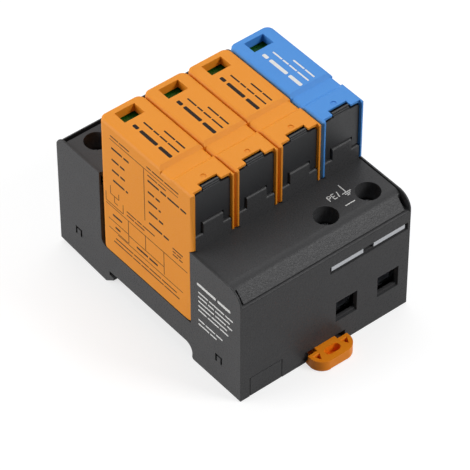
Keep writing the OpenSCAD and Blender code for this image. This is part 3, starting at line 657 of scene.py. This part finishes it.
@dataclass
class Plug:
    """One pull-out plug: cover, insert, arrester block, blades, trip frame, flag and print.

    Attributes:
        pole: The pole that it protects.
        edge: Rounding of the cover's and the insert's edges, in millimetres.
        corner: Radius of the cover's rear corners.
        brow: Radius of the cover's upper edges.
        title_height: Height of the top's first row.
        note_height: Height of the top's other rows.
        rule_width: Width of the side table's rules.
        small_height: Height of the table's small rows.
        large_height: Height of the table's large rows.
        turns: Degrees up to a corner's middle at which its surface gets a row of vertices.
        title: First row on the top, from its rear left corner.
        notes: The other rows there.
        rules: Rules of the table on the left side, from its lower rear corner.
        small: Small rows there.
        large: Large rows there.
        diagram: Lines of the plain diagram there.
    """

    pole: Pole
    edge: float = 0.18
    corner: float = 2.9
    brow: float = 1.5
    title_height: float = 1.35
    note_height: float = 0.6
    rule_width: float = 0.28
    small_height: float = 0.5
    large_height: float = 0.85
    turns: ClassVar[range] = range(0, 45, 9)
    title: ClassVar[tuple[Row, ...]] = ((11.0, 30.6, 6.3, (2, 7, 5)),)
    notes: ClassVar[tuple[Row, ...]] = ((12.1, 30.3, 9.6, (5, 3, 4, 6)), (19.4, 30.1, 12.2, (6, 5)))
    rules: ClassVar[tuple[Line, ...]] = (
        ((6.2, 52.3), (41.8, 52.3)), ((24.1, 52.0), (24.1, 28.8)), ((3.1, 21.7), (46.1, 21.7)),
        ((4.3, 15.4), (15.0, 15.4)), ((4.3, 11.2), (15.0, 11.2)), ((15.0, 21.7), (15.0, 11.2)),
        ((24.1, 21.7), (24.1, 14.9)), ((33.8, 21.7), (33.8, 11.4)), ((15.0, 14.9), (33.8, 14.9)),
        ((9.0, 10.6), (43.6, 10.6)))
    small: ClassVar[tuple[Row, ...]] = (
        (6.6, 16.6, 53.8, (4, 5)), (25.6, 42.0, 53.9, (2, 5, 6)), (26.0, 35.6, 50.6, (5, 4)),
        (14.3, 29.1, 25.4, (4, 2, 5)), (14.3, 23.7, 23.8, (3, 4)), (7.9, 40.3, 8.1, (6, 5, 4, 5)),
        (6.8, 41.7, 6.2, (5, 2, 6, 4)), (38.5, 43.8, 27.3, (1,)), (38.5, 43.0, 25.9, (2, 3)),
        (38.5, 43.6, 24.5, (3, 2)))
    large: ClassVar[tuple[Row, ...]] = (
        (7.0, 16.3, 48.7, (4, 2)), (7.0, 13.9, 43.6, (3, 2)), (7.0, 13.9, 38.9, (3, 2)),
        (7.4, 15.4, 34.5, (5, 1)), (26.0, 45.9, 48.2, (4, 2, 4, 2)), (26.0, 32.3, 43.2, (3, 2)),
        (26.0, 32.7, 38.9, (4, 1)), (26.3, 33.8, 34.3, (4, 2)), (26.3, 36.6, 29.3, (5, 2)),
        (6.6, 11.6, 18.3, (1,)), (7.8, 10.5, 13.2, (1,)), (19.2, 30.4, 12.8, (4, 3)))
    diagram: ClassVar[tuple[Line, ...]] = (
        ((3.2, 26.8), (3.2, 22.8), (12.4, 22.8), (12.4, 26.8)),
        ((5.8, 31.0), (5.8, 27.4), (10.2, 27.4), (10.2, 30.0)),
        ((7.8, 27.4), (7.8, 24.6), (9.6, 24.6)))

    @property
    def name(self) -> str:
        """Short name of the plug's pole."""
        return self.pole.value

    @property
    def neutral(self) -> bool:
        """Whether this is the blue plug with the spark gap."""
        return self.pole is Pole.NEUTRAL

    def build(self) -> None:
        """Makes the plug's mouldings and its print."""
        body = f"{self.name}_plug"
        slot, finish = ("cover_blue", COVER_BLUE) if self.neutral else ("cover_orange", COVER_ORANGE)
        cover = softened(f"{self.name}_cover", f"{self.name}_cover_moulding", self.edge)
        self.ball_corners(cover)
        put(cover, body, finish)
        insert = softened(f"{self.name}_carrier", f"{self.name}_insert_moulding", self.edge)
        put(insert, body, CARRIER_BLACK)
        ink = WHITE_INK if self.neutral else BLACK_INK
        put(self.top_rows(), body, ink)
        put(self.side_table(), body, ink)

    def dress(self) -> None:
        """Gives the parts inside the plug their materials."""
        block, coat = ("spark_gap", SPARK_GAP_CASE) if self.neutral else ("varistor", VARISTOR_COAT)
        paint(f"{self.name}_{block}", coat)
        paint(f"{self.name}_line_blade", COPPER_STRIP)
        paint(f"{self.name}_common_blade", COPPER_STRIP)
        paint(f"{self.name}_trip_frame", FAULT_RED)
        paint(f"{self.name}_status_flag", READY_GREEN)

    def ball_corners(self, cover: bpy.types.Object) -> None:
        """Blends the cover's rounded rear corners into its rounded upper edges.

        Args:
            cover: The cover's moulding.
        """
        low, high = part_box(f"{self.name}_cover")
        radius, brow = self.corner * MM, self.brow * MM
        left, right, rear = low.x + radius, high.x - radius, high.y - radius
        shape = bmesh.new()
        shape.from_mesh(cover.data)
        for turn in self.turns:
            step = radius * math.tan(math.radians(turn))
            for place, facing in ((X * (left - step), X), (X * (right + step), X), (Y * (rear + step), Y)):
                bmesh.ops.bisect_plane(shape, geom=[*shape.verts, *shape.edges, *shape.faces], dist=CUT,
                                       plane_co=place, plane_no=facing)
        for vertex in shape.verts:
            rise = max(vertex.co.z - high.z + brow, 0.0)
            reach = radius - brow + math.sqrt(max(brow * brow - rise * rise, 0.0))
            for centre, outwards in ((Vector((left, rear)), -1), (Vector((right, rear)), 1)):
                off = vertex.co.xy - centre
                if off.x * outwards > 0 and off.y > 0 and off.length > reach:
                    vertex.co.xy = centre + off * (reach / off.length)
        shape.to_mesh(cover.data)
        shape.free()

    def top_rows(self) -> bpy.types.Object:
        """Draws the three rows on the plug's top, measured from its rear left corner.

        Returns:
            The ink on the top.
        """
        low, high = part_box(f"{self.name}_cover")
        sheet = PrintSheet(Vector((low.x, high.y, high.z)), -Y, X)
        sheet.rows(self.title, self.title_height)
        sheet.rows(self.notes, self.note_height)
        return sheet.build(f"{self.name}_top_print")

    def side_table(self) -> bpy.types.Object:
        """Draws the table on the plug's left side, measured from its lower rear corner.

        Returns:
            The ink on the side.
        """
        low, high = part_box(f"{self.name}_cover")
        sheet = PrintSheet(Vector((low.x, high.y, low.z)), -Y, Z)
        sheet.strokes(self.rules, self.rule_width)
        sheet.rows(self.small, self.small_height)
        sheet.rows(self.large, self.large_height)
        sheet.strokes(self.diagram, self.rule_width)
        return sheet.build(f"{self.name}_side_print")


@dataclass(frozen=True)
class Softbox:
    """Square softbox that points at the object.

    Attributes:
        name: Name of the lamp.
        place: Where it hangs, in metres.
        size: Length of its side, in metres.
        power: Power in watts.
    """

    name: str
    place: tuple[float, float, float]
    size: float
    power: float

    def hang(self, aim: Vector) -> None:
        """Hangs the softbox.

        Args:
            aim: The point that it faces.
        """
        light = bpy.data.lights.new(self.name, "AREA")
        light.size = self.size
        light.energy = self.power
        lamp = bpy.data.objects.new(self.name, light)
        lamp.location = self.place
        lamp.rotation_mode = "QUATERNION"
        lamp.rotation_quaternion = (aim - Vector(self.place)).to_track_quat("-Z", "Y")
        bpy.context.scene.collection.objects.link(lamp)
        LOG.info("%s: %.1f W", self.name, self.power)


@dataclass
class Studio:
    """White paper under three softboxes, above, at the rear left and at the front right, and the photo's camera.

    Attributes:
        azimuth: Camera's direction round the object, in degrees.
        elevation: Camera's height above the horizon, in degrees.
        distance: Camera's distance from its aim, in millimetres.
        aim_right: Aim's offset to the camera's right.
        aim_height: Aim's height over the floor.
        lens: Focal length, in millimetres.
        sensor: Width of the camera's sensor.
        clip: Nearest and farthest distance that the camera sees, in metres.
        floor_radius: Radius of the paper.
        floor_sink: Depth of the paper under the object, so that no two faces share a plane.
        paper: Colour of the paper, as the lamps light it.
        white: Colour of the paper and the world, as the camera sees them.
        paper_glow: Strength that lifts the seen paper to white and leaves its shadow.
        ambient: Strength of the world's light on the object.
        lamps: The softboxes.
    """

    azimuth: float = -39.18
    elevation: float = 44.69
    distance: float = 1069.9
    aim_right: float = -1.412
    aim_height: float = 19.82
    lens: float = 245.1
    sensor: float = 36.0
    clip: tuple[float, float] = (0.05, 20.0)
    floor_radius: float = 1500.0
    floor_sink: float = 0.05
    paper: str = "#a8a8a8"
    white: str = "#ffffff"
    paper_glow: float = 0.7
    ambient: float = 0.12
    lamps: ClassVar[tuple[Softbox, ...]] = (
        Softbox("overhead_softbox", (0.35, 0.42, 1.15), size=1.1, power=7.6),
        Softbox("left_softbox", (-1.0, 0.65, 0.4), size=0.9, power=13.7),
        Softbox("front_softbox", (0.53, -0.76, 0.75), size=0.44, power=7.4))

    def build(self) -> None:
        """Makes the floor, the lamps, the world and the camera."""
        self.floor()
        for lamp in self.lamps:
            lamp.hang(Z * self.aim_height * MM)
        self.world()
        self.camera()

    def floor(self) -> None:
        """Makes a round pale floor that the camera sees as white paper with a faint shadow."""
        shape = bmesh.new()
        bmesh.ops.create_circle(shape, cap_ends=True, segments=96, radius=self.floor_radius * MM)
        piece = place_mesh("paper_floor", shape)
        piece.location.z = -self.floor_sink * MM
        material = bpy.data.materials.new("paper_white_matt")
        material.use_nodes = True
        tree = material.node_tree
        tree.nodes.clear()
        seen = self.seen(tree)
        matt = add_node(tree, "ShaderNodeBsdfDiffuse", {"Color": linear(self.paper)})
        glow = add_node(tree, "ShaderNodeEmission", {"Color": linear(self.white), "Strength": self.paper_glow})
        lit = add_node(tree, "ShaderNodeAddShader", {}, {0: matt.outputs[0], 1: glow.outputs[0]})
        mixed = add_node(tree, "ShaderNodeMixShader", {}, {0: seen, 1: matt.outputs[0], 2: lit.outputs[0]})
        add_node(tree, "ShaderNodeOutputMaterial", {}, {"Surface": mixed.outputs[0]})
        piece.data.materials.append(material)
        LOG.info("paper_floor: stage")

    def seen(self, tree: bpy.types.NodeTree) -> bpy.types.NodeSocket:
        """Tells what the camera sees, straight or in a mirror or a glass, from what only lights the object.

        Args:
            tree: The node tree of the floor or the world.

        Returns:
            A value of 1 for what is seen, and 0 for the rest.
        """
        path = add_node(tree, "ShaderNodeLightPath").outputs
        mirrored = add_node(tree, "ShaderNodeMath", {"operation": "MAXIMUM"},
                            {0: path["Is Glossy Ray"], 1: path["Is Transmission Ray"]})
        either = add_node(tree, "ShaderNodeMath", {"operation": "MAXIMUM"},
                          {0: path["Is Camera Ray"], 1: mirrored.outputs[0]})
        return either.outputs[0]

    def world(self) -> None:
        """Surrounds the scene with soft grey light that the camera sees as white."""
        world = bpy.data.worlds.new("studio_white")
        world.use_nodes = True
        tree = world.node_tree
        tree.nodes.clear()
        seen = self.seen(tree)
        soft = add_node(tree, "ShaderNodeBackground", {"Color": linear(self.white), "Strength": self.ambient})
        white = add_node(tree, "ShaderNodeBackground", {"Color": linear(self.white), "Strength": 1.0})
        mixed = add_node(tree, "ShaderNodeMixShader", {}, {0: seen, 1: soft.outputs[0], 2: white.outputs[0]})
        add_node(tree, "ShaderNodeOutputWorld", {}, {"Surface": mixed.outputs[0]})
        bpy.context.scene.world = world
        bpy.context.scene.view_settings.view_transform = "Standard"

    def camera(self) -> None:
        """Sets up the camera at the photograph's viewing angle."""
        a, e = math.radians(self.azimuth), math.radians(self.elevation)
        back = Vector((math.sin(a) * math.cos(e), -math.cos(a) * math.cos(e), math.sin(e)))
        right = Vector((math.cos(a), math.sin(a), 0))
        aim = (right * self.aim_right + Z * self.aim_height) * MM
        optics = bpy.data.cameras.new("photo_camera")
        optics.sensor_width = self.sensor
        optics.lens = self.lens
        optics.clip_start, optics.clip_end = self.clip
        camera = bpy.data.objects.new("photo_camera", optics)
        camera.rotation_mode = "QUATERNION"
        camera.location = aim + back * (self.distance * MM)
        camera.rotation_quaternion = (-back).to_track_quat("-Z", "Y")
        bpy.context.scene.collection.objects.link(camera)
        bpy.context.scene.camera = camera
        LOG.info("photo_camera: %.1f mm lens", self.lens)


def main() -> None:
    """Builds the studio, then builds and dresses the arrester piece by piece."""
    logging.basicConfig(level=logging.INFO, format="%(name)s: %(message)s")
    Studio().build()
    base = Base()
    base.build()
    base.dress()
    Foot().build()
    for clamp in Clamp:
        Terminal(clamp).dress()
    for pole in Pole:
        plug = Plug(pole)
        plug.build()
        plug.dress()


if __name__ == "__main__":
    main()
